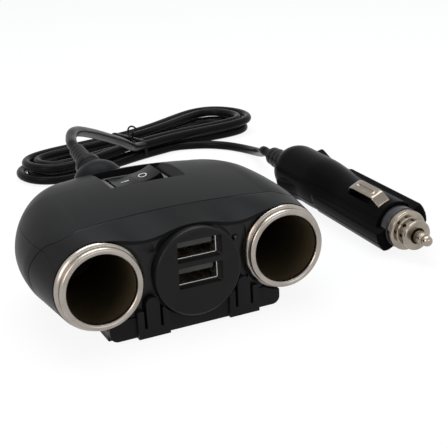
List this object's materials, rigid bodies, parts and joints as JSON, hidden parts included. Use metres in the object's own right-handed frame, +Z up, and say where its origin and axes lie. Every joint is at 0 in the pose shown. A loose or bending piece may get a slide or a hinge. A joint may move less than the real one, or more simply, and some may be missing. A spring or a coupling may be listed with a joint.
{
  "type": "car power socket splitter",
  "caption": "Housing with twin car power sockets, charging ports and a rocker switch on a clip-on adhesive bracket, with a bundled lead ending in a fused plug.",
  "frame": {"origin": "centre of the adhesive face under the bracket", "axes": "+Z up, away from the adhesive face; +X to the right as the sockets are seen from the front; the sockets face -Y"},
  "size_m": [0.1668, 0.2299, 0.041],
  "materials": {
    "housing_black": "satin moulded ABS, fine texture",
    "panel_black": "satin moulded ABS",
    "disc_black": "satin moulded ABS",
    "lens_red": "clear red pilot lens, unlit",
    "socket_nickel": "nickel plated steel",
    "insulator_brown": "phenolic disc",
    "contact_brass": "plain brass",
    "port_steel": "stamped steel",
    "tongue_white": "white moulded plastic",
    "pin_gold": "gold plated pins",
    "board_green": "glass epoxy board",
    "choke_copper": "enamelled copper winding",
    "capacitor_sleeve": "shrink sleeve",
    "switch_black": "semi-gloss nylon",
    "terminal_tin": "tinned brass",
    "screw_steel": "zinc plated",
    "wire_red": "PVC insulation",
    "bracket_black": "satin moulded plastic",
    "pad_foam": "foam tape with a release liner",
    "relief_black": "moulded PVC",
    "cord_black": "smooth PVC jacket",
    "tie_black": "plastic coated wire tie",
    "plug_black": "satin moulded plastic",
    "strip_steel": "nickel plated spring steel",
    "neck_gloss": "glossy moulded plastic",
    "nose_nickel": "nickel plated brass",
    "fuse_glass": "clear glass",
    "fuse_metal": "nickel plated caps and spring"
  },
  "bodies": {
    "bracket": {"mounting_bracket": "bracket_black", "adhesive_pad": "pad_foam", "cord_lead": "cord_black", "cord_bundle": "cord_black", "bundle_tie": "tie_black", "cord_tail": "cord_black", "plug_relief": "relief_black", "plug_shell_upper": "plug_black", "plug_shell_lower": "plug_black", "plug_screw": "screw_steel", "plug_wires": "wire_red", "plug_neck": "neck_gloss", "rear_terminal": "contact_brass"},
    "housing": {"housing_top": "housing_black", "housing_bottom": "housing_black", "front_panel": "panel_black", "usb_face": "disc_black", "pilot_lens": "lens_red", "socket_barrel_left": "socket_nickel", "socket_barrel_right": "socket_nickel", "socket_insulator_left": "insulator_brown", "socket_insulator_right": "insulator_brown", "usb_shells": "port_steel", "usb_tongues": "tongue_white", "usb_pins": "pin_gold", "circuit_board": "board_green", "power_choke": "choke_copper", "board_capacitors": "capacitor_sleeve", "switch_body": "switch_black", "switch_terminals": "terminal_tin", "housing_screws": "screw_steel", "inner_wires": "wire_red", "strain_relief": "relief_black"},
    "rocker": {"switch_rocker": "switch_black"},
    "left_contact": {"socket_contact_left": "contact_brass"},
    "right_contact": {"socket_contact_right": "contact_brass"},
    "upper_strip": {"plug_contact_upper": "strip_steel"},
    "lower_strip": {"plug_contact_lower": "strip_steel"},
    "nose_bush": {"nose_bush": "neck_gloss"},
    "nose_cap": {"nose_cap": "nose_nickel"},
    "pin_and_fuse": {"centre_pin": "nose_nickel", "fuse_tube": "fuse_glass", "fuse_caps": "fuse_metal", "fuse_spring": "fuse_metal"}
  },
  "joints": [
    {"name": "housing_lift", "type": "slide", "parent": "bracket", "child": "housing", "axis": [0, 0, 1], "range_m": [0, 0.025], "deforming": ["cord_lead"]},
    {"name": "rocker_tilt", "type": "hinge", "parent": "housing", "child": "rocker", "pos_m": [-0.0012, 0.0229, 0.0332], "axis": [0, 1, 0], "range_deg": [0, 20]},
    {"name": "left_contact_press", "type": "slide", "parent": "housing", "child": "left_contact", "axis": [0, 1, 0], "range_m": [0, 0.0012], "stiffness_N_per_m": 300},
    {"name": "right_contact_press", "type": "slide", "parent": "housing", "child": "right_contact", "axis": [0, 1, 0], "range_m": [0, 0.0012], "stiffness_N_per_m": 300},
    {"name": "upper_strip_press", "type": "slide", "parent": "bracket", "child": "upper_strip", "axis": [0.4229, 0.0219, -0.9059], "range_m": [0, 0.0019], "stiffness_N_per_m": 400},
    {"name": "lower_strip_release", "type": "slide", "parent": "bracket", "child": "lower_strip", "axis": [0.4229, 0.0219, -0.9059], "range_m": [0, 0.0019], "stiffness_N_per_m": 400},
    {"name": "nose_advance", "type": "slide", "parent": "bracket", "child": "nose_bush", "axis": [-0.0117, -0.9995, -0.0297], "range_m": [0, 0.003]},
    {"name": "cap_turn", "type": "hinge", "parent": "nose_bush", "child": "nose_cap", "pos_m": [0.086, -0.00735, 0.0086], "axis": [-0.0117, -0.9995, -0.0297], "range_deg": [0, 1080]},
    {"name": "pin_press", "type": "slide", "parent": "nose_bush", "child": "pin_and_fuse", "axis": [0.0117, 0.9995, 0.0297], "range_m": [0, 0.003], "stiffness_N_per_m": 300}
  ],
  "couplings": [
    {"joint": "cap_turn", "follows": "nose_advance", "rad_per_m": 6283.2}
  ]
}
